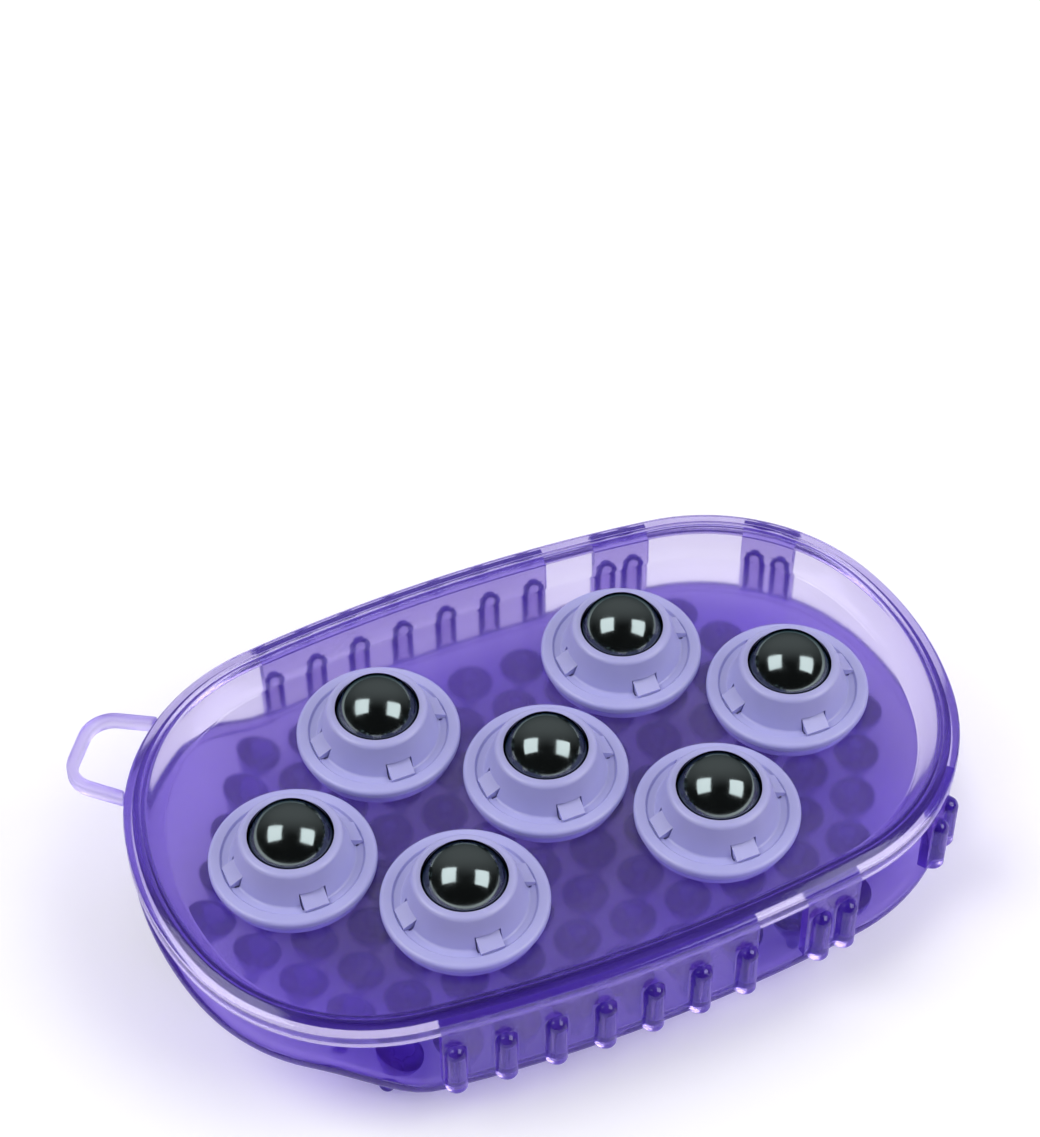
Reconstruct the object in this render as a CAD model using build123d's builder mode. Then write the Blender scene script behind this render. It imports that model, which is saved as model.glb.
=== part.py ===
"""Massage mitt: two soft plates joined by ribbed side walls, with a hand pocket between them.

The upper plate carries seven rollers, each a ball held between a cup and a snap-in seat.
The lower plate carries a field of soft nubs, and the mitt stands on their tips.
X runs from the open wrist end (-X) to the finger end (+X), Z is up, and the origin is at
the middle of the plates, level with the nub tips. All sizes are in millimetres.
"""

import os
from math import acos, atan2, ceil, cos, degrees, radians, sin, sqrt

from build123d import *

# Outline of both plates: flat side arcs, round corners and blunter ends
side_radius = 350.0
end_radius = 70.0
corner_drop = 9.5

# Heights of the soft body
nub_height = 9.5
nub_plate_thickness = 2.5
shell_height = 24.6
rim_height = 4.9
tray_depth = 6.5
floor_thickness = 2.0

# Tray of the roller plate, as insets from its outer edge
floor_inset = 8.0
rim_land = 3.0
band_thickness = 2.0
skirt_thickness = 2.2
rim_bead_radius = 1.2

# Nubs, in staggered rows that are longest in the middle
nub_end_margin = 12.6
nub_side_margin = 13.7
nub_middle_row_count = 13
nub_row_reach = 4
nub_base_radius = 4.9
nub_shoulder_radius = 4.5
nub_shoulder_depth = 1.5
nub_waist_radius = 3.6
nub_waist_depth = 3.6
nub_neck_radius = 2.1
nub_neck_depth = 6.7
nub_stem_radius = 1.6
nub_stem_depth = 7.1
nub_tip_radius = 1.1
nub_tip_height = 0.6
nub_root_depth = 1.2
plate_edge_radius = 1.0

# Wrist end of the nub plate, bent up towards the roller plate, most at its corners
bend_rise = 12.5
bend_middle_radius = 70.0
bend_corner_length = 24.0
bend_sideways_power = 1.5
bend_point_step = 6.0
bend_section_shares = (-1, -0.7, -0.35, 0, 0.35, 0.7, 1)

# Side walls and their grip ribs
wall_set_in = 0.5
wall_thickness = 2.0
rib_radius = 2.2
rib_stand_out = 0.3
rib_top_gap = 4.8
rib_foot_lift = 0.3
long_wall_rib_count = 7
long_wall_setback = 42.5
long_wall_end_margin = 2.6
inner_finger_gap = 11.2
middle_wall_setback = 47.0
short_wall_rib_count = 2
short_wall_rib_pitch = 6.2
short_wall_end_margin = 3.2
end_wall_normal_degrees = 47.0

# Hanging loop, a flat band on the wrist-end corner
loop_normal_degrees = 143.0
loop_root_width = 21.0
loop_outer_width = 17.0
loop_reach = 12.0
loop_corner_radius = 6.0
loop_band_width = 2.3
loop_band_height = 3.0
loop_root_depth = 6.0

# Gaps between the flanges of the rollers, and from them to the edge of the tray's floor
roller_pitch_gap = 21.4
roller_row_half_gap = 6.3
roller_end_land = 6.6
roller_side_land = 6.2

# Ball, how far it sinks below the top of the tray's floor, and the space around it
ball_diameter = 18.0
ball_sink = 3.3
ball_clearance = 0.25

# Cup that holds the ball from above
flange_thickness = 1.3
flange_ring_height = 1.8
flange_ring_width = 2.4
flange_ring_slope = 0.4
lip_rise = 3.1
lip_width = 1.65
flange_under_radius = 0.3
flange_edge_radius = 0.8
flange_step_radius = 0.2
dome_foot_radius = 0.6
dome_shoulder_radius = 1.2

# Snap hooks of the seat, and the windows and slots that they pass
hook_count = 4
hook_width = 5.0
hook_thickness = 1.5
hook_wall = 1.85
hook_catch = 0.9
hook_ring_clearance = 0.1
hook_top = 3.8
hook_nose_height = 0.7
hook_gap = 0.1
hook_side_clearance = 0.3
window_wall_clearance = 0.2
window_outer_clearance = 0.6
window_top_clearance = 0.5

# Seat that carries the ball from inside the pocket
seat_set_in = 1.0
seat_flange_thickness = 1.6
seat_boss_wall = 1.25
seat_boss_height = 1.15
seat_edge_radius = 0.4

# Cutters run past the faces that they open by this much
overrun = 1.0

nub_plate_top = nub_height + nub_plate_thickness
rim_top = nub_height + shell_height
seam_level = rim_top - rim_height
floor_top = rim_top - tray_depth
floor_under = floor_top - floor_thickness

# Radii of a roller, from the ball outwards: cavity, hooks, slots in the plate, flange
cavity_radius = ball_diameter / 2 + ball_clearance
ball_level = ball_diameter / 2 - ball_sink
hook_inner_radius = cavity_radius + hook_wall
hook_outer_radius = hook_inner_radius + hook_thickness
slot_inner = hook_inner_radius - window_wall_clearance
slot_outer = hook_outer_radius + window_outer_clearance
slot_width = hook_width + 2 * hook_side_clearance
hook_reach_radius = slot_outer + hook_catch
ring_foot_radius = hook_reach_radius + hook_ring_clearance
ring_inner_radius = ring_foot_radius + flange_ring_slope
flange_radius = ring_inner_radius + flange_ring_width

# Layout of the rollers: one in the middle, two beside it and two rows of two
roller_pitch = 2 * flange_radius + roller_pitch_gap
roller_row_offset = flange_radius + roller_row_half_gap

# Plates just large enough for the rollers
plate_length = 2 * (roller_pitch + flange_radius + roller_end_land + floor_inset)
plate_width = 2 * (roller_row_offset + flange_radius + roller_side_land + floor_inset)
corner_radius = plate_width / 2 - corner_drop

# Centres of the side and corner arcs in the first quarter of the outline
side_centre = Vector(0, plate_width / 2 - side_radius)
end_centre = Vector(plate_length / 2 - end_radius, 0)
centre_line = end_centre - side_centre
side_gap = side_radius - corner_radius
end_gap = end_radius - corner_radius
along = (side_gap**2 - end_gap**2 + centre_line.length**2) / (2 * centre_line.length)
across = sqrt(side_gap**2 - along**2)
line_direction = centre_line.normalized()
square_direction = Vector(line_direction.Y, -line_direction.X)
corner_centre = side_centre + line_direction * along + square_direction * across
side_end = degrees(atan2(corner_centre.Y - side_centre.Y, corner_centre.X - side_centre.X))
corner_end = degrees(atan2(corner_centre.Y - end_centre.Y, corner_centre.X - end_centre.X))


def on_arc(centre, radius, angle):
    """Point of an arc at an angle in degrees from the X axis."""
    return centre + Vector(cos(radians(angle)), sin(radians(angle))) * radius


def outline(height, inset=0):
    """Face with the outline of the plates at a height, moved inwards by inset."""
    with BuildSketch(Plane.XY.offset(height)) as face:
        with BuildLine():
            side_start = on_arc(side_centre, side_radius - inset, 90)
            side_middle = on_arc(side_centre, side_radius - inset, (90 + side_end) / 2)
            side_stop = on_arc(side_centre, side_radius - inset, side_end)
            ThreePointArc(side_start, side_middle, side_stop)
            corner_middle = on_arc(corner_centre, corner_radius - inset, (side_end + corner_end) / 2)
            corner_stop = on_arc(corner_centre, corner_radius - inset, corner_end)
            ThreePointArc(side_stop, corner_middle, corner_stop)
            end_middle = on_arc(end_centre, end_radius - inset, corner_end / 2)
            end_stop = on_arc(end_centre, end_radius - inset, 0)
            ThreePointArc(corner_stop, end_middle, end_stop)
            mirror(about=Plane.XZ)
            mirror(about=Plane.YZ)
        make_face()
    return face.sketch


# Roller plate: a shallow tray with a skirt around it
band_slope = (floor_inset - rim_land) / tray_depth
band_side_thickness = band_thickness * sqrt(1 + band_slope**2)
tray_under_inset = floor_inset + floor_thickness * band_slope - band_side_thickness
tray_top_inset = rim_land - band_side_thickness
tray_mouth_inset = rim_land - overrun * band_slope

roller_places = [(0, 0), (-roller_pitch, 0), (roller_pitch, 0)]
roller_places += [
    (roller_pitch / 2 * end, roller_row_offset * side) for end in (-1, 1) for side in (-1, 1)
]
roller_names = ["centre", "wrist", "finger", "front_wrist", "back_wrist", "front_finger", "back_finger"]


def in_rings_of_hooks(radius):
    """Every place of a snap hook on the roller plate, turned to face its roller."""
    return [
        Location((x, y, floor_under)) * place
        for x, y in roller_places
        for place in PolarLocations(radius, hook_count).local_locations
    ]


with BuildPart() as roller_plate:
    add(outline(seam_level))
    extrude(amount=rim_height)
    add(outline(seam_level, skirt_thickness))
    extrude(amount=rim_height, mode=Mode.SUBTRACT)
    loft(sections=[outline(floor_under, tray_under_inset), outline(rim_top, tray_top_inset)], ruled=True)
    loft(
        sections=[outline(floor_top, floor_inset), outline(rim_top + overrun, tray_mouth_inset)],
        ruled=True,
        mode=Mode.SUBTRACT,
    )
    rim_edges = roller_plate.faces().filter_by(Axis.Z).sort_by(Axis.Z)[-1].outer_wire().edges()
    fillet(rim_edges, rim_bead_radius)
    with Locations([(x, y, floor_under) for x, y in roller_places]):
        Cylinder(
            ball_diameter / 2,
            floor_thickness,
            align=(Align.CENTER, Align.CENTER, Align.MIN),
            mode=Mode.SUBTRACT,
        )
    with Locations(*in_rings_of_hooks((slot_inner + slot_outer) / 2)):
        Box(
            slot_outer - slot_inner,
            slot_width,
            floor_thickness,
            align=(Align.CENTER, Align.CENTER, Align.MIN),
            mode=Mode.SUBTRACT,
        )
roller_plate.part.label = "roller_plate"

# Hanging loop: a band bent round two corners, cut to the side of the rim
loop_plane = Plane(
    origin=on_arc(Vector(-corner_centre.X, corner_centre.Y), corner_radius, loop_normal_degrees),
    x_dir=Vector(sin(radians(loop_normal_degrees)), -cos(radians(loop_normal_degrees))),
    z_dir=(0, 0, 1),
).offset(seam_level + (rim_height - loop_band_height) / 2)

with BuildPart() as hanging_loop:
    with BuildSketch(loop_plane):
        with BuildLine():
            FilletPolyline(
                (-loop_root_width / 2, -loop_root_depth),
                (-loop_outer_width / 2, loop_reach),
                (loop_outer_width / 2, loop_reach),
                (loop_root_width / 2, -loop_root_depth),
                radius=loop_corner_radius,
            )
        trace(line_width=loop_band_width)
    extrude(amount=loop_band_height)
    add(outline(seam_level))
    extrude(amount=rim_height, mode=Mode.SUBTRACT)
hanging_loop.part.label = "hanging_loop"

# Nub plate: a sheet with staggered rows of bell-shaped nubs that point down
long_wall_start = long_wall_setback - plate_length / 2
bend_end = -plate_length / 2 - overrun
bend_steps = ceil((long_wall_start - bend_end) / bend_point_step)
bend_step = (bend_end - long_wall_start) / bend_steps
bend_stations = [long_wall_start + bend_step * i for i in range(bend_steps + 1)]
nub_pitch = (plate_length - 2 * nub_end_margin) / (nub_middle_row_count - 1)
nub_row_pitch = (plate_width / 2 - nub_side_margin) / nub_row_reach
nub_flare = (nub_base_radius - nub_shoulder_radius) / nub_shoulder_depth
nub_root_radius = nub_base_radius + nub_flare * nub_root_depth
nub_places = [
    (nub_pitch * (column - (nub_middle_row_count - abs(row) - 1) / 2), nub_row_pitch * row)
    for row in range(-nub_row_reach, nub_row_reach + 1)
    for column in range(nub_middle_row_count - abs(row))
]


def bend(x, y):
    """How far the nub plate is bent up at a place. Its middle follows an arc and its sides an S."""
    past = max(0, long_wall_start - x)
    sideways = (abs(y) / (plate_width / 2)) ** bend_sideways_power
    step = min(1, past / bend_corner_length)
    corner_rise = bend_rise * step**2 * (3 - 2 * step)
    return past**2 / (2 * bend_middle_radius) * (1 - sideways) + corner_rise * sideways


def bend_section(y):
    """Face of the bent sheet's cross section at y, from its free end to the side walls."""
    under = [(x, nub_height + bend(x, y)) for x in bend_stations]
    upper = [(x, z + nub_plate_thickness) for x, z in under]
    with BuildSketch(Plane.XZ.offset(-y)) as section:
        with BuildLine():
            Spline(under)
            Line(under[-1], upper[-1])
            Spline(upper)
            Line(under[0], upper[0])
        make_face()
    return section.sketch


def nub_place(x, y):
    """Place of a nub on the sheet, square to it where it is bent."""
    along = (bend(x + overrun, y) - bend(x - overrun, y)) / (2 * overrun)
    sideways = (bend(x, y + overrun) - bend(x, y - overrun)) / (2 * overrun)
    lean = Rot(degrees(atan2(sideways, 1)), -degrees(atan2(along, 1)), 0)
    return Pos(x, y, nub_height + bend(x, y)) * lean


with BuildPart() as bent_end:
    bend_reach = plate_width / 2 + overrun
    loft(sections=[bend_section(bend_reach * share) for share in bend_section_shares])
    add(outline(nub_height, wall_set_in))
    extrude(amount=nub_plate_thickness + bend_rise * 2, mode=Mode.INTERSECT)

with BuildPart() as nub_plate:
    add(outline(nub_height, wall_set_in))
    extrude(amount=nub_plate_thickness)
    split(bisect_by=Plane.YZ.offset(long_wall_start), keep=Keep.TOP)
    add(bent_end.part)
    under_faces = nub_plate.faces().filter_by(lambda face: face.normal_at().Z < -0.5)
    under_edges = [edge for edge in under_faces.edges() if abs(edge.center().X - long_wall_start) > overrun]
    fillet(under_edges, plate_edge_radius)
    with BuildSketch(Plane.XZ) as nub_profile:
        with BuildLine():
            Polyline(
                (0, nub_root_depth),
                (nub_root_radius, nub_root_depth),
                (nub_shoulder_radius, -nub_shoulder_depth),
                (nub_waist_radius, -nub_waist_depth),
                (nub_neck_radius, -nub_neck_depth),
                (nub_stem_radius, -nub_stem_depth),
                (nub_stem_radius, nub_tip_height - nub_height),
                (nub_tip_radius, -nub_height),
                (0, -nub_height),
                close=True,
            )
        make_face()
    nub = revolve(nub_profile.sketch, Axis.Z, mode=Mode.PRIVATE)
    add([nub_place(x, y) * nub for x, y in nub_places])
nub_plate.part.label = "nub_plate"


def wall_strip(centre, radius, middle_angle, rib_step, rib_count, end_margin, side):
    """Strip of side wall along an arc of the outline, with its row of ribs.

    The arc lies in the first quarter of the outline, and side -1 mirrors it to the front.
    """
    outer = radius - wall_set_in
    rib_turn = degrees(rib_step / radius)
    rib_angles = [middle_angle + rib_turn * (i - (rib_count - 1) / 2) for i in range(rib_count)]
    margin_turn = degrees(end_margin / radius)
    first = rib_angles[0] - margin_turn
    last = rib_angles[-1] + margin_turn
    rib_height = seam_level - rib_top_gap - rib_radius - nub_height - rib_foot_lift
    rib_places = [
        on_arc(centre, outer + rib_stand_out, angle) + Vector(0, 0, nub_height + rib_foot_lift)
        for angle in rib_angles
    ]
    with BuildPart() as strip:
        with BuildSketch(Plane.XY.offset(nub_plate_top)):
            with BuildLine():
                outer_arc = ThreePointArc(
                    on_arc(centre, outer, first),
                    on_arc(centre, outer, middle_angle),
                    on_arc(centre, outer, last),
                )
                inner_arc = ThreePointArc(
                    on_arc(centre, outer - wall_thickness, first),
                    on_arc(centre, outer - wall_thickness, middle_angle),
                    on_arc(centre, outer - wall_thickness, last),
                )
                Line(outer_arc @ 0, inner_arc @ 0)
                Line(outer_arc @ 1, inner_arc @ 1)
            make_face()
        extrude(amount=seam_level - nub_plate_top)
        with Locations(rib_places):
            Cylinder(rib_radius, rib_height, align=(Align.CENTER, Align.CENTER, Align.MIN))
        with Locations([place + Vector(0, 0, rib_height) for place in rib_places]):
            Sphere(rib_radius)
        add(outline(nub_height, wall_set_in))
        extrude(amount=nub_plate_thickness, mode=Mode.SUBTRACT)
    return strip.part if side > 0 else mirror(strip.part, about=Plane.XZ)


def side_angle(x):
    """Angle on the side arc of the point at x."""
    return degrees(acos(x / side_radius))


short_wall_half_length = short_wall_rib_pitch * (short_wall_rib_count - 1) / 2 + short_wall_end_margin
middle_wall_middle = plate_length / 2 - middle_wall_setback
long_wall_end = middle_wall_middle - short_wall_half_length - inner_finger_gap
long_wall_ribbed_length = long_wall_end - long_wall_start - 2 * long_wall_end_margin

side_walls = {}
for side_name, side in (("back", 1), ("front", -1)):
    side_walls[side_name + "_long_wall"] = wall_strip(
        side_centre,
        side_radius,
        side_angle((long_wall_start + long_wall_end) / 2),
        long_wall_ribbed_length / (long_wall_rib_count - 1),
        long_wall_rib_count,
        long_wall_end_margin,
        side,
    )
    side_walls[side_name + "_middle_wall"] = wall_strip(
        side_centre,
        side_radius,
        side_angle(middle_wall_middle),
        short_wall_rib_pitch,
        short_wall_rib_count,
        short_wall_end_margin,
        side,
    )
    side_walls[side_name + "_end_wall"] = wall_strip(
        corner_centre,
        corner_radius,
        end_wall_normal_degrees,
        short_wall_rib_pitch,
        short_wall_rib_count,
        short_wall_end_margin,
        side,
    )

# Roller cup: flange with a raised ring, domed housing and a lip that closes over the ball
lip_height = ball_level + lip_rise
opening_radius = sqrt(cavity_radius**2 - lip_rise**2)
cavity_turn = degrees(atan2(lip_rise, opening_radius))
cavity_arc_middle = on_arc(Vector(0, ball_level), cavity_radius, cavity_turn / 2)

with BuildPart() as cup:
    with BuildSketch(Plane.XZ):
        with BuildLine():
            FilletPolyline(
                (cavity_radius, 0),
                (flange_radius, 0),
                (flange_radius, flange_ring_height),
                (ring_inner_radius, flange_ring_height),
                (ring_foot_radius, flange_thickness),
                (hook_outer_radius, flange_thickness),
                (opening_radius + lip_width, lip_height),
                (opening_radius, lip_height),
                radius=[
                    flange_under_radius,
                    flange_edge_radius,
                    flange_step_radius,
                    flange_step_radius,
                    dome_foot_radius,
                    dome_shoulder_radius,
                ],
            )
            ThreePointArc((opening_radius, lip_height), cavity_arc_middle, (cavity_radius, ball_level))
            Line((cavity_radius, ball_level), (cavity_radius, 0))
        make_face()
    revolve(axis=Axis.Z)
    with PolarLocations((slot_inner + slot_outer) / 2, hook_count):
        Box(
            slot_outer - slot_inner,
            slot_width,
            hook_top + window_top_clearance,
            align=(Align.CENTER, Align.CENTER, Align.MIN),
            mode=Mode.SUBTRACT,
        )

# Roller seat: disc under the floor, with a ball pocket and snap hooks
seat_top = -floor_thickness
seat_radius = flange_radius - seat_set_in
seat_boss_radius = cavity_radius + seat_boss_wall
seat_boss_top = seat_top - seat_flange_thickness
seat_bottom = seat_boss_top - seat_boss_height
hook_under = flange_thickness + hook_gap

with BuildPart() as seat:
    with BuildSketch(Plane.XZ):
        with BuildLine():
            FilletPolyline(
                (0, seat_top),
                (seat_radius, seat_top),
                (seat_radius, seat_boss_top),
                (seat_boss_radius, seat_boss_top),
                (seat_boss_radius, seat_bottom),
                (0, seat_bottom),
                radius=seat_edge_radius,
                close=False,
            )
            Line((0, seat_bottom), (0, seat_top))
        make_face()
    revolve(axis=Axis.Z)
    with Locations((0, 0, ball_level)):
        Sphere(cavity_radius, mode=Mode.SUBTRACT)
    with BuildSketch(Plane.XZ) as hook_profile:
        with BuildLine():
            Polyline(
                (hook_inner_radius, seat_top - seat_flange_thickness / 2),
                (hook_outer_radius, seat_top - seat_flange_thickness / 2),
                (hook_outer_radius, hook_under),
                (hook_reach_radius, hook_under),
                (hook_reach_radius, hook_under + hook_nose_height),
                (hook_inner_radius, hook_top),
                close=True,
            )
        make_face()
    hook = extrude(hook_profile.sketch, hook_width / 2, both=True, mode=Mode.PRIVATE)
    add([place * hook for place in PolarLocations(0, hook_count).local_locations])

with BuildPart() as ball:
    with Locations((0, 0, ball_level)):
        Sphere(ball_diameter / 2)

os.makedirs("parts", exist_ok=True)
for whole_piece in (roller_plate, hanging_loop, nub_plate):
    export_step(whole_piece.part, f"parts/{whole_piece.part.label}.step")
for name, wall in side_walls.items():
    wall.label = name
    export_step(wall, f"parts/{name}.step")
for name, (x, y) in zip(roller_names, roller_places):
    for kind, piece in (("cup", cup), ("seat", seat), ("ball", ball)):
        placed = Pos(x, y, floor_top) * piece.part
        placed.label = f"{name}_{kind}"
        export_step(placed, f"parts/{placed.label}.step")
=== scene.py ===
"""Looks of the massage mitt: soft violet mouldings, lavender roller cups and dark polished balls.

Everything is in metres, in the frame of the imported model: X runs to the finger end, Z is up, and
the mitt stands on the tips of its nubs.
"""

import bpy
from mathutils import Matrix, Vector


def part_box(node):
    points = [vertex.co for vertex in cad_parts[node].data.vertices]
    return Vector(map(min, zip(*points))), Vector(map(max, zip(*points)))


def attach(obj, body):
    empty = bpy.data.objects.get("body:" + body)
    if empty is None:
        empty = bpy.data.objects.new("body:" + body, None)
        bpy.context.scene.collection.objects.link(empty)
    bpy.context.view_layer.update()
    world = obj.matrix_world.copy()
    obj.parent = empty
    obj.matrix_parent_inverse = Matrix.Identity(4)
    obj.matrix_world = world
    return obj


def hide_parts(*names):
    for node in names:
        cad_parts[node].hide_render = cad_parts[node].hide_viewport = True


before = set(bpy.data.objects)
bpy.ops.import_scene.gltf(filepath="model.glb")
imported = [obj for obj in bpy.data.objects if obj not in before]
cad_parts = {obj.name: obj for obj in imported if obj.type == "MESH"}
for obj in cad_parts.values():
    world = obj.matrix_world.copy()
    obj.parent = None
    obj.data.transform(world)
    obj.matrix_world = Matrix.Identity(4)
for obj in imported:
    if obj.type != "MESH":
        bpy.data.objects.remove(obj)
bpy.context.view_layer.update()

from math import acos, atan2, cos, degrees, pi, radians, sin, sqrt

import bmesh
import bpy
from mathutils import Matrix, Vector

MM = 0.001

# The photograph's frame, and where the middle of the tray's floor is seen in it
PHOTO_WIDTH_PIXELS = 1040
PHOTO_HEIGHT_PIXELS = 1137
TARGET_COLUMN_PIXELS = 545.9
TARGET_ROW_PIXELS = 772.5

# Camera, from a fit to the seven round flanges and the rim
CAMERA_YAW = radians(23.12)
CAMERA_ELEVATION = radians(48.03)
CAMERA_ROLL = radians(-0.45)
CAMERA_DISTANCE = 609.1 * MM
CAMERA_CLIP_START = 0.01
FOCAL_PIXELS = 2965.3
SENSOR_WIDTH_MM = 36.0

# Two square softboxes. Their radiance is what a mirror would show of them.
SOFTBOX_DISTANCE = 2.0
SOFTBOX_SIZE = 1.3
SOFTBOX_RADIANCE = 4.4

# How far the table top reaches to each side, and between which distances it is lifted to plain white
TABLE_REACH = 4.0
LIFT_START = 0.2
LIFT_END = 0.8

# The way to the room's bright back, and its dimmest and brightest as it lights the mitt and as a
# mirror shows it
ROOM_BACK = Vector((0.4, 0.86, 0.5)).normalized()
ROOM_LIT = (0.08, 0.55)
ROOM_MIRRORED = (0.03, 0.42)

# Real sizes of the patterns, in millimetres: flow waves in the rubber, clouds and grain in the hard
# plastic, and wear on the balls. The grain is drawn coarser than it is, so that it shows.
FLOW_WAVE_SIZE = 11.11
CLOUD_SIZE = 7.143
GRAIN_SIZE = 0.625
SMUDGE_SIZE = 3.846

# The body of the model that carries the soft pieces
BODY = "mitt"
ROLLERS = ["centre", "wrist", "finger", "front_wrist", "back_wrist", "front_finger", "back_finger"]

# Vertex attribute of the nub plate, 1 on the nubs and 0 on the sheet
NUB_SHARE = "nub_share"

# Top of the tray's floor, on which the cups stand
floor_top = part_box("centre_cup")[0].z


# Materials


def colour(hex_value):
    """Linear RGBA of an sRGB hex colour."""
    channels = [int(hex_value[i : i + 2], 16) / 255 for i in (0, 2, 4)]
    return [c / 12.92 if c <= 0.04045 else ((c + 0.055) / 1.055) ** 2.4 for c in channels] + [1.0]


def add(tree, kind, inputs=None, **settings):
    """A new node with its settings, and its sockets set to values or linked to other sockets."""
    node = tree.nodes.new(kind)
    for name, value in settings.items():
        setattr(node, name, value)
    for socket, value in (inputs or {}).items():
        if isinstance(value, bpy.types.NodeSocket):
            tree.links.new(value, node.inputs[socket])
        else:
            node.inputs[socket].default_value = value
    return node


def new_material(name):
    """An empty node material and its tree."""
    material = bpy.data.materials.new(name)
    material.use_nodes = True
    material.node_tree.nodes.clear()
    return material, material.node_tree


def moulded_tpr(name, haze, roughness, depth_colour, density):
    """Clear violet thermoplastic rubber, injection moulded in a polished tool.

    A thin wall looks pale lavender and a thick one deep blue-violet, because the colour is in
    the depth. The skin is glossy with faint flow waves, and haze is how much of the light it
    scatters as violet. The nubs' skin is tinted deeper, so that they show as dark discs through
    the tray.
    """
    material, tree = new_material(name)
    place = add(tree, "ShaderNodeTexCoord").outputs["Object"]
    waves = add(
        tree,
        "ShaderNodeTexNoise",
        {"Vector": place, "Scale": 1 / (FLOW_WAVE_SIZE * MM), "Detail": 2.0, "Roughness": 0.45},
    )
    bump = add(
        tree, "ShaderNodeBump", {"Height": waves.outputs["Fac"], "Strength": 0.015, "Distance": 0.4 * MM}
    )
    in_nub = add(tree, "ShaderNodeAttribute", attribute_name=NUB_SHARE).outputs["Fac"]
    skin = add(
        tree, "ShaderNodeMix", {"Factor": in_nub, 6: colour("F8F6FD"), 7: colour("947ADE")}, data_type="RGBA"
    )
    rubber = add(
        tree,
        "ShaderNodeBsdfPrincipled",
        {
            "Base Color": skin.outputs[2],
            "Roughness": roughness,
            "IOR": 1.49,
            "Transmission Weight": 1.0,
            "Sheen Weight": haze,
            "Sheen Roughness": 0.9,
            "Sheen Tint": colour("7446DA"),
            "Normal": bump.outputs["Normal"],
        },
    )
    lamp_path = add(tree, "ShaderNodeLightPath").outputs["Is Shadow Ray"]
    clear = add(tree, "ShaderNodeBsdfTransparent", {"Color": colour("ECE8F8")})
    mix = add(tree, "ShaderNodeMixShader", {0: lamp_path, 1: rubber.outputs[0], 2: clear.outputs[0]})
    depth = add(tree, "ShaderNodeVolumeAbsorption", {"Color": colour(depth_colour), "Density": density})
    add(tree, "ShaderNodeOutputMaterial", {"Surface": mix.outputs[0], "Volume": depth.outputs[0]})
    return material


def moulded_abs():
    """Lavender ABS, injection moulded: opaque, softly glossy, with a fine even grain."""
    material, tree = new_material("moulded_lavender_abs")
    place = add(tree, "ShaderNodeTexCoord").outputs["Object"]
    cloud = add(
        tree, "ShaderNodeTexNoise", {"Vector": place, "Scale": 1 / (CLOUD_SIZE * MM), "Detail": 3.0}
    )
    shade = add(
        tree,
        "ShaderNodeMix",
        {"Factor": cloud.outputs["Fac"], 6: colour("AAA9E0"), 7: colour("B5B4E6")},
        data_type="RGBA",
    )
    grain = add(
        tree, "ShaderNodeTexNoise", {"Vector": place, "Scale": 1 / (GRAIN_SIZE * MM), "Detail": 2.0}
    )
    bump = add(
        tree, "ShaderNodeBump", {"Height": grain.outputs["Fac"], "Strength": 0.05, "Distance": 0.05 * MM}
    )
    plastic = add(
        tree,
        "ShaderNodeBsdfPrincipled",
        {
            "Base Color": shade.outputs[2],
            "Roughness": 0.36,
            "IOR": 1.53,
            "Subsurface Weight": 0.15,
            "Subsurface Radius": (0.6, 0.5, 1.0),
            "Subsurface Scale": 0.8 * MM,
            "Normal": bump.outputs["Normal"],
        },
    )
    add(tree, "ShaderNodeOutputMaterial", {"Surface": plastic.outputs[0]})
    return material


def polished_steel():
    """Black-finished polished steel: a dark mirror with a green-grey cast and faint wear."""
    material, tree = new_material("polished_black_steel")
    place = add(tree, "ShaderNodeTexCoord").outputs["Object"]
    smudge = add(
        tree,
        "ShaderNodeTexNoise",
        {"Vector": place, "Scale": 1 / (SMUDGE_SIZE * MM), "Detail": 5.0, "Roughness": 0.6},
    )
    rough = add(
        tree,
        "ShaderNodeMapRange",
        {"Value": smudge.outputs["Fac"], "From Min": 0.35, "From Max": 0.75, "To Min": 0.09, "To Max": 0.2},
    )
    steel = add(
        tree,
        "ShaderNodeBsdfPrincipled",
        {
            "Base Color": colour("666F70"),
            "Metallic": 1.0,
            "Roughness": rough.outputs[0],
            "Specular Tint": colour("5A5A62"),
        },
    )
    add(tree, "ShaderNodeOutputMaterial", {"Surface": steel.outputs[0]})
    return material


def studio_floor():
    """Matt white table top. What the eye sees of it is lifted to plain white, more so far away."""
    material, tree = new_material("white_table")
    paint = add(tree, "ShaderNodeBsdfDiffuse", {"Color": colour("F7F7F7")})
    path = add(tree, "ShaderNodeLightPath")
    seen = add(
        tree,
        "ShaderNodeMath",
        {0: path.outputs["Is Camera Ray"], 1: path.outputs["Is Glossy Ray"]},
        operation="MAXIMUM",
    )
    seen_through = add(
        tree,
        "ShaderNodeMath",
        {0: seen.outputs[0], 1: path.outputs["Is Transmission Ray"]},
        operation="MAXIMUM",
    )
    place = add(tree, "ShaderNodeTexCoord").outputs["Object"]
    away = add(tree, "ShaderNodeVectorMath", {0: place}, operation="LENGTH")
    rise = add(
        tree,
        "ShaderNodeMapRange",
        {
            "Value": away.outputs["Value"],
            "From Min": LIFT_START,
            "From Max": LIFT_END,
            "To Min": 0.13,
            "To Max": 1.0,
        },
    )
    lift = add(
        tree, "ShaderNodeMath", {0: seen_through.outputs[0], 1: rise.outputs[0]}, operation="MULTIPLY"
    )
    glow = add(tree, "ShaderNodeEmission", {"Strength": lift.outputs[0]})
    both = add(tree, "ShaderNodeAddShader", {0: paint.outputs[0], 1: glow.outputs[0]})
    add(tree, "ShaderNodeOutputMaterial", {"Surface": both.outputs[0]})
    return material


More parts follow.
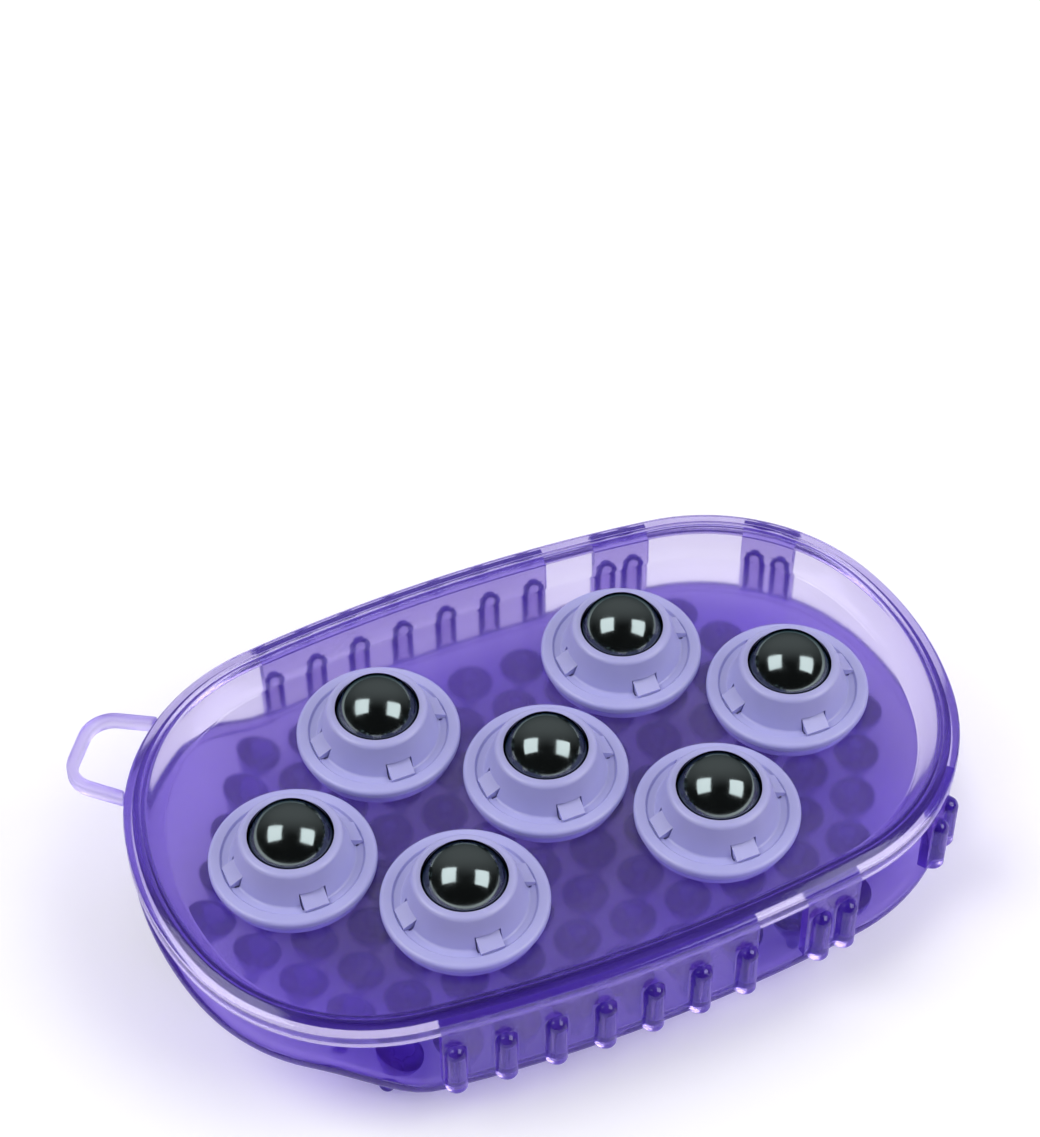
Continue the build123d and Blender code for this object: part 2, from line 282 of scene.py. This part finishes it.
# Soft mouldings, built finer than the frame's solids. Sizes are in millimetres, as in the part.


# Outline of both plates: arcs along the sides, round the corners and across the ends
SIDE_RADIUS = 350.0
END_RADIUS = 70.0
CORNER_DROP = 9.5
PLATE_LENGTH = 174.0
PLATE_WIDTH = 109.0
CORNER_RADIUS = PLATE_WIDTH / 2 - CORNER_DROP
SIDE_CENTRE = Vector((0, PLATE_WIDTH / 2 - SIDE_RADIUS))
END_CENTRE = Vector((PLATE_LENGTH / 2 - END_RADIUS, 0))
SIDE_STEPS, CORNER_STEPS, END_STEPS = 16, 20, 8

# Levels of the tray's floor, of the seam where the walls meet the tray, and of the rim
FLOOR_TOP = 27.56
FLOOR_UNDER = 25.64
SEAM = 29.2
SEAM_GAP = 0.04
RIM_TOP = 34.1

# Places of the rollers, and the holes for them: a bore, and hook slots beside it
ROLLER_PITCH = 55.4
ROLLER_ROW = 23.3
BORE_RADIUS = 9.0
BORE_SEGMENTS = 48
SLOT_INNER, SLOT_OUTER, SLOT_WIDTH = 10.9, 13.2, 5.6

# Nub plate: the underside and the top of its sheet, and the rows of nubs
NUB_HEIGHT = 9.5
SHEET_TOP = 11.96
NUB_PITCH = 12.4
NUB_ROW_PITCH = 10.2
NUB_MIDDLE_ROW = 13
NUB_ROW_REACH = 4
NUB_SEGMENTS = 24
NUB_COLLAR_RADIUS = 5.5

# Bend of the sheet's free wrist end: an even curve in the middle that rises most at the corners
BEND_START = -44.5
BEND_RISE = 12.5
BEND_MIDDLE_RADIUS = 70.0
BEND_CORNER_LENGTH = 24.0
BEND_SIDEWAYS_POWER = 1.5

# Distance to each side over which the bent sheet's slope is taken
LEAN_STEP = 0.5

# Planes that cut the sheet into narrow faces where it bends, across and along the mitt
ACROSS_CUT_COUNT = 22
ACROSS_CUT_STEP = 2
ALONG_CUT_REACH = 13
ALONG_CUT_STEP = 4
ACROSS_CUTS = [BEND_START - ACROSS_CUT_STEP * i for i in range(ACROSS_CUT_COUNT)]
ALONG_CUTS = [ALONG_CUT_STEP * i for i in range(-ALONG_CUT_REACH, ALONG_CUT_REACH + 1)]

# Edges that turn more than this stay sharp: on the tray and the loop, and on the nub plate and the walls
TRAY_SHARP_DEGREES = 40
WALL_SHARP_DEGREES = 50

# The loop's edges that turn more than this are rounded, set in by this much and in so many steps
LOOP_EDGE_DEGREES = 50
LOOP_ROUNDING = 0.55
LOOP_ROUNDING_STEPS = 3

# Distances under which points are one: on a cutting plane, in one mesh, where a nub meets the sheet and
# on a wall
CUT_TOLERANCE = 0.0001
SAME_PLACE = 0.001
SEAM_TOLERANCE = 0.005
WALL_TOLERANCE = 0.002

# Faces that turn less than this from one to the next are one flat face
FLAT_DEGREES = 1

# Material index that marks the sheet's filled faces while they are cut
SHEET_FACES = 1

# Rim of the roller plate, as insets from its edge and levels: skirt, sloping band, groove, bead and
# shoulder
RIM_PROFILE = [
    (2.2, SEAM + SEAM_GAP),
    (0.45, SEAM + SEAM_GAP),
    (0.12, SEAM + 0.14),
    (0.0, SEAM + 0.45),
    (0.0, 30.8),
    (0.0, 32.2),
    (0.06, 32.55),
    (0.2, 32.85),
    (0.45, 33.07),
    (0.9, 33.27),
    (1.4, 33.48),
    (1.9, 33.68),
    (2.4, 33.88),
    (2.8, 34.03),
    (3.05, RIM_TOP),
    (3.3, 34.0),
    (3.5, 33.77),
    (3.7, 33.62),
    (3.95, 33.68),
    (4.25, 33.7),
    (4.55, 33.55),
    (4.9, 33.15),
    (5.5, 32.3),
    (6.2, 31.2),
    (6.9, 30.0),
    (7.4, 29.0),
    (7.8, 28.2),
    (8.0, 27.85),
    (8.2, 27.66),
    (8.5, FLOOR_TOP),
]

# Underside of the tray, from its floor out and up the slope to the skirt
TRAY_UNDER_PROFILE = [
    (7.4, FLOOR_UNDER),
    (7.05, 25.7),
    (6.75, 25.95),
    (5.2, 27.9),
    (3.6, 29.9),
    (2.5, 31.3),
    (2.2, 31.8),
]


def arc(centre, radius, start, stop, steps):
    """Points of an arc between two angles in degrees, without its last one."""
    turns = [radians(start + (stop - start) * i / steps) for i in range(steps)]
    return [centre + Vector((cos(turn), sin(turn))) * radius for turn in turns]


def corner_centre():
    """Centre of the first corner arc, which touches the side arc and the end arc."""
    line = END_CENTRE - SIDE_CENTRE
    side_gap = SIDE_RADIUS - CORNER_RADIUS
    end_gap = END_RADIUS - CORNER_RADIUS
    along = (side_gap**2 - end_gap**2 + line.length_squared) / (2 * line.length)
    across = sqrt(side_gap**2 - along**2)
    return SIDE_CENTRE + line.normalized() * along + Vector((line.y, -line.x)).normalized() * across


CORNER_CENTRE = corner_centre()


def outline(inset):
    """Points round the outline of the plates, moved inwards by inset."""
    side_end = degrees(atan2(*reversed(CORNER_CENTRE - SIDE_CENTRE)))
    corner_end = degrees(atan2(*reversed(CORNER_CENTRE - END_CENTRE)))
    quarter = arc(SIDE_CENTRE, SIDE_RADIUS - inset, 90, side_end, SIDE_STEPS)
    quarter += arc(CORNER_CENTRE, CORNER_RADIUS - inset, side_end, corner_end, CORNER_STEPS)
    quarter += arc(END_CENTRE, END_RADIUS - inset, corner_end, 0, END_STEPS)
    tip = Vector((PLATE_LENGTH / 2 - inset, 0))
    half = quarter + [tip] + [Vector((p.x, -p.y)) for p in reversed(quarter)]
    return half + [Vector((-p.x, p.y)) for p in reversed(half[1:-1])]


def ring(bm, points, level):
    """Closed ring of edges through points at a level."""
    verts = [bm.verts.new((p.x, p.y, level)) for p in points]
    return [bm.edges.new((verts[i - 1], vert)) for i, vert in enumerate(verts)]


def bridge(bm, rings):
    """Faces between each ring of edges and the next."""
    for first, second in zip(rings, rings[1:]):
        bmesh.ops.bridge_loops(bm, edges=first + second)


def circle(place, radius, segments):
    """Points of a circle round a place."""
    return arc(place, radius, 0, 360, segments)


def slot(place, turn):
    """Corners of a hook slot beside a bore, at a turn in degrees."""
    rotation = Matrix.Rotation(radians(turn), 2)
    corners = [(SLOT_INNER, -1), (SLOT_OUTER, -1), (SLOT_OUTER, 1), (SLOT_INNER, 1)]
    return [place + rotation @ Vector((x, side * SLOT_WIDTH / 2)) for x, side in corners]


def to_piece(bm, name, material, sharp_degrees=TRAY_SHARP_DEGREES):
    """Scales a mesh in millimetres to metres and makes it a smooth-shaded piece of the mitt."""
    bmesh.ops.recalc_face_normals(bm, faces=bm.faces)
    bmesh.ops.scale(bm, vec=(MM, MM, MM), verts=bm.verts)
    mesh = bpy.data.meshes.new(name)
    bm.to_mesh(mesh)
    bm.free()
    mesh.shade_smooth()
    mesh.set_sharp_from_angle(angle=radians(sharp_degrees))
    mesh.materials.append(material)
    piece = bpy.data.objects.new(name, mesh)
    bpy.context.scene.collection.objects.link(piece)
    return piece


def roller_plate(material):
    """The tray with its rolled rim, skirt, seven bores and a ring of four slots round each."""
    bm = bmesh.new()
    rim = [ring(bm, outline(inset), level) for inset, level in RIM_PROFILE + TRAY_UNDER_PROFILE]
    upper, under = rim[len(RIM_PROFILE) - 1], rim[len(RIM_PROFILE)]
    bridge(bm, rim[: len(RIM_PROFILE)])
    bridge(bm, rim[len(RIM_PROFILE) :] + rim[:1])
    places = [Vector((x, 0)) for x in (0, -ROLLER_PITCH, ROLLER_PITCH)]
    places += [Vector((x * ROLLER_PITCH / 2, y * ROLLER_ROW)) for x in (-1, 1) for y in (-1, 1)]
    shapes = [circle(place, BORE_RADIUS, BORE_SEGMENTS) for place in places]
    shapes += [slot(place, turn) for place in places for turn in (0, 90, 180, 270)]
    for shape in shapes:
        top_edge, low_edge = ring(bm, shape, FLOOR_TOP), ring(bm, shape, FLOOR_UNDER)
        bridge(bm, [top_edge, low_edge])
        upper, under = upper + top_edge, under + low_edge
    for edges, up in ((upper, 1), (under, -1)):
        bmesh.ops.triangle_fill(bm, edges=edges, use_beauty=True, normal=(0, 0, up))
    return to_piece(bm, "roller_plate_shell", material)


def bend(x, y):
    """How far the nub plate's free wrist end is bent up at a place."""
    past = max(0, BEND_START - x)
    sideways = (abs(y) / (PLATE_WIDTH / 2)) ** BEND_SIDEWAYS_POWER
    step = min(1, past / BEND_CORNER_LENGTH)
    middle_rise = past**2 / (2 * BEND_MIDDLE_RADIUS)
    corner_rise = BEND_RISE * step**2 * (3 - 2 * step)
    return middle_rise * (1 - sideways) + corner_rise * sideways


# Edge of the nub plate, as insets and levels: a low bead on its underside
SHEET_PROFILE = [
    (3.6, NUB_HEIGHT),
    (3.1, 9.42),
    (2.7, 9.2),
    (2.2, 9.05),
    (1.7, 9.03),
    (1.2, 9.15),
    (0.85, 9.4),
    (0.62, 9.8),
    (0.54, 10.3),
    (0.54, 11.5),
    (0.66, 11.8),
    (0.95, SHEET_TOP),
]

# Bell of a nub, as radii and depths under the sheet
NUB_PROFILE = [
    (4.95, 0.0),
    (5.0, 0.3),
    (4.9, 0.75),
    (4.7, 1.3),
    (4.4, 2.0),
    (4.0, 2.8),
    (3.5, 3.7),
    (3.0, 4.6),
    (2.55, 5.5),
    (2.15, 6.3),
    (1.85, 6.85),
    (1.65, 7.15),
    (1.6, 7.5),
    (1.6, 8.7),
    (1.5, 9.1),
    (1.25, 9.37),
    (0.85, 9.49),
    (0.0, 9.5),
]


def lean(x, y):
    """Turn that stands a nub square on the bent sheet."""
    along = (bend(x + LEAN_STEP, y) - bend(x - LEAN_STEP, y)) / (2 * LEAN_STEP)
    sideways = (bend(x, y + LEAN_STEP) - bend(x, y - LEAN_STEP)) / (2 * LEAN_STEP)
    return Vector((0, 0, 1)).rotation_difference(Vector((-along, -sideways, 1))).to_matrix()


def nub_mesh():
    """One nub, spun from its profile, open where it joins the sheet."""
    bm = bmesh.new()
    verts = [bm.verts.new((radius, 0, -depth)) for radius, depth in NUB_PROFILE]
    edges = [bm.edges.new(pair) for pair in zip(verts, verts[1:])]
    bmesh.ops.spin(bm, geom=verts + edges, axis=(0, 0, 1), angle=2 * pi, steps=NUB_SEGMENTS, use_merge=True)
    bmesh.ops.remove_doubles(bm, verts=bm.verts, dist=SAME_PLACE)
    mesh = bpy.data.meshes.new("nub")
    bm.to_mesh(mesh)
    bm.free()
    return mesh


def cut(bm, across, along):
    """Cuts the filled faces past the bend's start by planes, so that they can bend smoothly."""
    for normal, stations in ((Vector((1, 0, 0)), across), (Vector((0, 1, 0)), along)):
        for station in stations:
            sheet = [face for face in bm.faces if face.material_index == SHEET_FACES]
            faces = [face for face in sheet if min(vert.co.x for vert in face.verts) < BEND_START]
            edges = {edge for face in faces for edge in face.edges}
            verts = {vert for face in faces for vert in face.verts}
            bmesh.ops.bisect_plane(
                bm,
                geom=faces + list(edges) + list(verts),
                dist=CUT_TOLERANCE,
                plane_co=normal * station,
                plane_no=normal,
            )


def nub_plate(material):
    """The sheet with its beaded edge and bent wrist end, and the field of nubs under it."""
    bm = bmesh.new()
    edge_rings = [ring(bm, outline(inset), level) for inset, level in SHEET_PROFILE]
    bridge(bm, edge_rings)
    places = [
        Vector((NUB_PITCH * (column - (NUB_MIDDLE_ROW - abs(row) - 1) / 2), NUB_ROW_PITCH * row))
        for row in range(-NUB_ROW_REACH, NUB_ROW_REACH + 1)
        for column in range(NUB_MIDDLE_ROW - abs(row))
    ]
    under = edge_rings[0]
    for place in places:
        foot, collar = (
            ring(bm, circle(place, radius, NUB_SEGMENTS), NUB_HEIGHT)
            for radius in (NUB_PROFILE[0][0], NUB_COLLAR_RADIUS)
        )
        bridge(bm, [foot, collar])
        under = under + collar
    for edges, up in ((under, -1), (edge_rings[-1], 1)):
        fill = bmesh.ops.triangle_fill(bm, edges=edges, use_beauty=True, normal=(0, 0, up))
        for face in fill["geom"]:
            if isinstance(face, bmesh.types.BMFace):
                face.material_index = SHEET_FACES
    cut(bm, ACROSS_CUTS, ALONG_CUTS)
    for face in bm.faces:
        face.material_index = 0
    for vert in bm.verts:
        vert.co.z += bend(vert.co.x, vert.co.y)
    nub = nub_mesh()
    nub_share = bm.verts.layers.float.new(NUB_SHARE)
    for place in places:
        known = len(bm.verts)
        bm.from_mesh(nub)
        bm.verts.ensure_lookup_table()
        turn = lean(place.x, place.y)
        seat = Vector((place.x, place.y, NUB_HEIGHT + bend(place.x, place.y)))
        for vert in bm.verts[known:]:
            if vert.co.z > -SAME_PLACE:
                vert.co += Vector((place.x, place.y, NUB_HEIGHT))
                vert.co.z += bend(vert.co.x, vert.co.y)
            else:
                vert.co = seat + turn @ vert.co
                vert[nub_share] = 1.0
    bmesh.ops.remove_doubles(bm, verts=bm.verts, dist=SEAM_TOLERANCE)
    return to_piece(bm, "nub_plate_shell", material, WALL_SHARP_DEGREES)


def softened(node, name, radius, material):
    """A merged copy of a CAD node with its sharp edges rounded, set in by radius."""
    bm = bmesh.new()
    bm.from_mesh(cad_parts[node].data)
    bmesh.ops.scale(bm, vec=(1 / MM, 1 / MM, 1 / MM), verts=bm.verts)
    bmesh.ops.remove_doubles(bm, verts=bm.verts, dist=SAME_PLACE)
    bmesh.ops.dissolve_limit(bm, angle_limit=radians(FLAT_DEGREES), verts=bm.verts, edges=bm.edges)
    joined = [edge for edge in bm.edges if len(edge.link_faces) == 2]
    sharp = [edge for edge in joined if edge.calc_face_angle() > radians(LOOP_EDGE_DEGREES)]
    bmesh.ops.bevel(
        bm,
        geom=sharp,
        offset=radius,
        offset_type="OFFSET",
        affect="EDGES",
        segments=LOOP_ROUNDING_STEPS,
        profile=0.5,
        material=-1,
    )
    return to_piece(bm, name, material)


# Half of a rib's section, as distances from its middle and how far it stands out of the wall
RIB_SECTION = [
    (0.0, 2.5),
    (0.55, 2.43),
    (1.08, 2.2),
    (1.55, 1.85),
    (1.9, 1.4),
    (2.1, 0.9),
    (2.2, 0.45),
    (2.28, 0.2),
    (2.4, 0.05),
    (2.55, 0.0),
]

# A rib's radius, how far under the seam its top ends, and the level of its foot
RIB_RADIUS = 2.2
RIB_TOP_GAP = 4.8
RIB_FOOT = 11.0

# How far from a rib's middle its foot reaches, and how near to it a plain column of points may come.
# The middle itself counts as this far away, so that it is told from a plain column.
RIB_FOOT_REACH = 2.3
RIB_CLEAR_DISTANCE = 2.7
RIB_MIDDLE_DISTANCE = 0.001

# Dome on a rib's top: where it starts, its rise, its steps and the share of the section at its tip
RIB_DOME = SEAM - RIB_TOP_GAP - RIB_RADIUS
RIB_DOME_RISE = 2.25
DOME_STEPS = 7
DOME_TIP_SHARE = 0.03

# Foot of a rib, as heights over its end and shares of its section, and how far under the wall it starts
FOOT_ROUNDING = [(0.5, 1.0), (0.2, 0.95), (0.06, 0.84), (0.0, 0.66)]
FOOT_STEP = 0.2

# The walls run a little into both plates, as one moulding does, so that no air gap mirrors light there
WALL_LAP = 0.2
WALL_FOOT = SHEET_TOP - WALL_LAP
WALL_TOP = SEAM + SEAM_GAP + WALL_LAP

# How far inside the plates' edge a wall stands, its thickness, and the spacing of its plain columns
WALL_SET_IN = 0.5
WALL_THICKNESS = 2.0
WALL_COLUMN_STEP = 2.0

# Levels of points down a wall, over the ribs' domes and under them
PLAIN_LEVELS = [WALL_TOP, SEAM - 0.25, 28.0, 26.0, 24.9]
RIBBED_LEVELS = [19.0, 16.0, 13.0, WALL_FOOT]

# The strips of wall: their ribs, how far a strip runs on past its last rib, and where they stand
LONG_RIB_COUNT = 7
LONG_WALL_MARGIN = 2.6
SHORT_RIB_COUNT = 2
SHORT_RIB_PITCH = 6.2
SHORT_WALL_MARGIN = 3.2
MIDDLE_WALL_SETBACK = 47.0
MIDDLE_WALL_MIDDLE = PLATE_LENGTH / 2 - MIDDLE_WALL_SETBACK
INNER_FINGER_GAP = 11.2
END_WALL_DEGREES = 47.0


def wall_columns(rib_places, margin):
    """Distances along a wall, how far a rib stands out there, and how far from its rib's middle."""
    half = [(-away, out) for away, out in reversed(RIB_SECTION)] + RIB_SECTION[1:]
    columns = []
    for before, place in zip([None] + rib_places, rib_places):
        if before is not None:
            steps = int((place - before) / WALL_COLUMN_STEP)
            between = [before + (place - before) * (i + 0.5) / steps for i in range(steps)]
            plain = [spot for spot in between if min(spot - before, place - spot) > RIB_CLEAR_DISTANCE]
            columns += [(spot, 0.0, 0.0) for spot in plain]
        columns += [(place + away, out, away or RIB_MIDDLE_DISTANCE) for away, out in half]
    ends = [(rib_places[0] - margin, 0.0, 0.0), (rib_places[-1] + margin, 0.0, 0.0)]
    return ends[:1] + columns + ends[1:]


def wall_rows():
    """Levels down a wall and then down its ribs' feet, with the share of a rib's section at each."""
    turns = [pi / 2 * i / DOME_STEPS for i in range(DOME_STEPS, -1, -1)]
    dome = [(RIB_DOME + RIB_DOME_RISE * sin(turn), max(DOME_TIP_SHARE, cos(turn))) for turn in turns]
    rows = [(level, 0.0) for level in PLAIN_LEVELS] + dome + [(level, 1.0) for level in RIBBED_LEVELS]
    foot = [(WALL_FOOT, 1.0), (WALL_FOOT - FOOT_STEP, 1.0)]
    foot += [(RIB_FOOT + rise, share) for rise, share in FOOT_ROUNDING]
    return rows, foot


def in_order(verts):
    """Points of a new flat grid, row by row."""
    return sorted(verts, key=lambda vert: (round(vert.co.y, 6), vert.co.x))


def wall(name, centre, radius, middle_degrees, rib_places, margin, side, material):
    """A strip of side wall with its row of ribs: an outer skin and an inner skin, closed all round.

    The ribs run down past the wall, over the edge of the nub plate, to a rounded foot.
    """
    columns = wall_columns(rib_places, margin)
    rows, foot = wall_rows()
    bm = bmesh.new()
    bmesh.ops.create_grid(bm, x_segments=len(columns) - 1, y_segments=len(rows + foot) - 1, size=1)
    outer = in_order(bm.verts)
    twins = bmesh.ops.extrude_face_region(bm, geom=bm.faces[:], use_keep_orig=True)
    inner = in_order(item for item in twins["geom"] if isinstance(item, bmesh.types.BMVert))
    for skin in (outer, inner):
        for i, vert in enumerate(skin):
            row, column = divmod(i, len(columns))
            level, share = (rows + foot)[row]
            along, out, away = columns[column]
            in_foot = row >= len(rows)
            in_rib = away and abs(away) < RIB_FOOT_REACH
            if in_foot and not in_rib:
                level = WALL_FOOT
            spread = share if share and not in_foot else 1.0
            if skin is inner:
                out = 0.0 if in_foot else -WALL_THICKNESS
            else:
                out = out * share if in_rib or not in_foot else 0.0
            reach = radius - WALL_SET_IN + out
            turn = radians(middle_degrees) + (along + away * (spread - 1.0)) / radius
            spot = centre + Vector((cos(turn), sin(turn))) * reach
            vert.co = (spot.x, side * spot.y, level)
    bmesh.ops.remove_doubles(bm, verts=bm.verts, dist=WALL_TOLERANCE)
    return to_piece(bm, name, material, WALL_SHARP_DEGREES)


def rib_row(count, pitch):
    """Places of a row of ribs about a strip's middle."""
    return [pitch * (i - (count - 1) / 2) for i in range(count)]


def side_walls(material):
    """The six strips of side wall, by the node that each replaces."""
    short_half_length = SHORT_RIB_PITCH / 2 + SHORT_WALL_MARGIN
    long_start, long_end = BEND_START, MIDDLE_WALL_MIDDLE - short_half_length - INNER_FINGER_GAP
    long_pitch = (long_end - long_start - 2 * LONG_WALL_MARGIN) / (LONG_RIB_COUNT - 1)
    long_degrees, middle_degrees = (
        degrees(acos(place / SIDE_RADIUS)) for place in ((long_start + long_end) / 2, MIDDLE_WALL_MIDDLE)
    )
    long_ribs = rib_row(LONG_RIB_COUNT, long_pitch)
    short_ribs = rib_row(SHORT_RIB_COUNT, SHORT_RIB_PITCH)
    strips = (
        ("long", SIDE_CENTRE, SIDE_RADIUS, long_degrees, long_ribs, LONG_WALL_MARGIN),
        ("middle", SIDE_CENTRE, SIDE_RADIUS, middle_degrees, short_ribs, SHORT_WALL_MARGIN),
        ("end", CORNER_CENTRE, CORNER_RADIUS, END_WALL_DEGREES, short_ribs, SHORT_WALL_MARGIN),
    )
    walls = {}
    for side_name, side in (("back", 1), ("front", -1)):
        for place, *strip in strips:
            name = f"{side_name}_{place}_wall"
            walls[name] = wall(f"{name}_shell", *strip, side, material)
    return walls


# Stage


def camera():
    """The camera at the photograph's angle, so that the tray's middle falls on its pixel."""
    back = Vector(
        (
            -sin(CAMERA_YAW) * cos(CAMERA_ELEVATION),
            -cos(CAMERA_YAW) * cos(CAMERA_ELEVATION),
            sin(CAMERA_ELEVATION),
        )
    )
    level_right = Vector((cos(CAMERA_YAW), -sin(CAMERA_YAW), 0))
    level_up = back.cross(level_right)
    right = level_right * cos(CAMERA_ROLL) + level_up * sin(CAMERA_ROLL)
    up = level_up * cos(CAMERA_ROLL) - level_right * sin(CAMERA_ROLL)
    per_pixel = CAMERA_DISTANCE / FOCAL_PIXELS
    aside = (TARGET_COLUMN_PIXELS - PHOTO_WIDTH_PIXELS / 2) * per_pixel
    above = (PHOTO_HEIGHT_PIXELS / 2 - TARGET_ROW_PIXELS) * per_pixel
    place = Vector((0, 0, floor_top)) - right * aside - up * above + back * CAMERA_DISTANCE
    data = bpy.data.cameras.new("camera")
    data.sensor_width = SENSOR_WIDTH_MM
    data.lens = SENSOR_WIDTH_MM * FOCAL_PIXELS / PHOTO_HEIGHT_PIXELS
    data.clip_start = CAMERA_CLIP_START
    seen_from = bpy.data.objects.new("camera", data)
    seen_from.matrix_world = Matrix.Translation(place) @ Matrix((right, up, back)).transposed().to_4x4()
    bpy.context.scene.collection.objects.link(seen_from)
    bpy.context.scene.camera = seen_from


def softbox(name, direction, roll_degrees):
    """A square lamp that faces the mitt from a direction, rolled so that the balls mirror it upright."""
    data = bpy.data.lights.new(name, "AREA")
    data.shape = "SQUARE"
    data.size = SOFTBOX_SIZE
    data.energy = SOFTBOX_RADIANCE * pi * SOFTBOX_SIZE**2
    lamp = bpy.data.objects.new(name, data)
    back = Vector(direction).normalized()
    facing = back.to_track_quat("Z", "Y").to_matrix().to_4x4()
    roll = Matrix.Rotation(radians(roll_degrees), 4, "Z")
    lamp.matrix_world = Matrix.Translation(back * SOFTBOX_DISTANCE) @ facing @ roll
    bpy.context.scene.collection.objects.link(lamp)


def table():
    """The white table top, which is part of the stage and not of the mitt."""
    mesh = bpy.data.meshes.new("table_top")
    bm = bmesh.new()
    bmesh.ops.create_grid(bm, x_segments=1, y_segments=1, size=TABLE_REACH)
    bm.to_mesh(mesh)
    bm.free()
    table_top = bpy.data.objects.new("table_top", mesh)
    table_top.data.materials.append(studio_floor())
    bpy.context.scene.collection.objects.link(table_top)


def room():
    """A dim room that is brighter towards the back. The eye sees it as white paper."""
    world = bpy.data.worlds.new("room")
    world.use_nodes = True
    tree = world.node_tree
    tree.nodes.clear()
    path = add(tree, "ShaderNodeLightPath")
    seen = add(
        tree,
        "ShaderNodeMath",
        {0: path.outputs["Is Camera Ray"], 1: path.outputs["Is Transmission Ray"]},
        operation="MAXIMUM",
    )
    way = add(tree, "ShaderNodeTexCoord").outputs["Generated"]
    towards_back = add(tree, "ShaderNodeVectorMath", {0: way, 1: ROOM_BACK}, operation="DOT_PRODUCT")
    lit, mirrored = (
        add(
            tree,
            "ShaderNodeMapRange",
            {
                "Value": towards_back.outputs["Value"],
                "From Min": 0.1,
                "From Max": 1.0,
                "To Min": dim,
                "To Max": bright,
            },
            interpolation_type="SMOOTHSTEP",
        )
        for dim, bright in (ROOM_LIT, ROOM_MIRRORED)
    )
    strength = add(
        tree,
        "ShaderNodeMix",
        {"Factor": path.outputs["Is Glossy Ray"], 2: lit.outputs[0], 3: mirrored.outputs[0]},
    )
    dim_room = add(
        tree, "ShaderNodeBackground", {"Color": colour("FFFFFF"), "Strength": strength.outputs[0]}
    )
    paper = add(tree, "ShaderNodeBackground", {"Color": colour("FFFFFF"), "Strength": 1.0})
    mix = add(
        tree, "ShaderNodeMixShader", {0: seen.outputs[0], 1: dim_room.outputs[0], 2: paper.outputs[0]}
    )
    add(tree, "ShaderNodeOutputWorld", {"Surface": mix.outputs[0]})
    bpy.context.scene.world = world


def dress(node, material):
    """Gives a CAD node its finish."""
    cad_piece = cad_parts[node]
    for material_slot in cad_piece.material_slots:
        material_slot.link = "OBJECT"
        material_slot.material = material
    if not cad_piece.material_slots:
        cad_piece.data.materials.append(material)


bpy.context.scene.view_settings.view_transform = "Standard"
camera()
table()
softbox("left_softbox", direction=(-0.61, 0.16, 0.775), roll_degrees=-17.9)
softbox("right_softbox", direction=(0.57, -0.44, 0.69), roll_degrees=20.5)
room()

# One violet rubber in four finishes: clearest for the tray, paler and less glossy for the loop, and
# deeper and hazier for the nub plate and the walls. The nub plate's extra depth is partly painted
# shade: it darkens the shaded inside of the mitt, on top of the rubber's real depth colour.
tpr = moulded_tpr(
    "moulded_violet_tpr", haze=0.22, roughness=0.13, depth_colour="9C7ED4", density=130.0
)
pale_tpr = moulded_tpr(
    "moulded_pale_violet_tpr", haze=0.36, roughness=0.3, depth_colour="A288D8", density=160.0
)
# Partly real depth colour and partly painted shade for the mitt's shaded inside
deep_tpr_with_painted_shade = moulded_tpr(
    "moulded_deep_violet_tpr_with_painted_shade", haze=0.56, roughness=0.15, depth_colour="9468D6", density=450.0
)
wall_tpr = moulded_tpr(
    "moulded_violet_wall_tpr", haze=0.5, roughness=0.1, depth_colour="9A70D2", density=260.0
)
housing = moulded_abs()
steel = polished_steel()
soft_pieces = {
    "roller_plate": roller_plate(tpr),
    "nub_plate": nub_plate(deep_tpr_with_painted_shade),
    "hanging_loop": softened("hanging_loop", "hanging_loop_band", LOOP_ROUNDING, pale_tpr),
    **side_walls(wall_tpr),
}
for node, piece in soft_pieces.items():
    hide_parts(node)
    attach(piece, BODY)
for roller in ROLLERS:
    dress(f"{roller}_cup", housing)
    dress(f"{roller}_seat", housing)
    dress(f"{roller}_ball", steel)
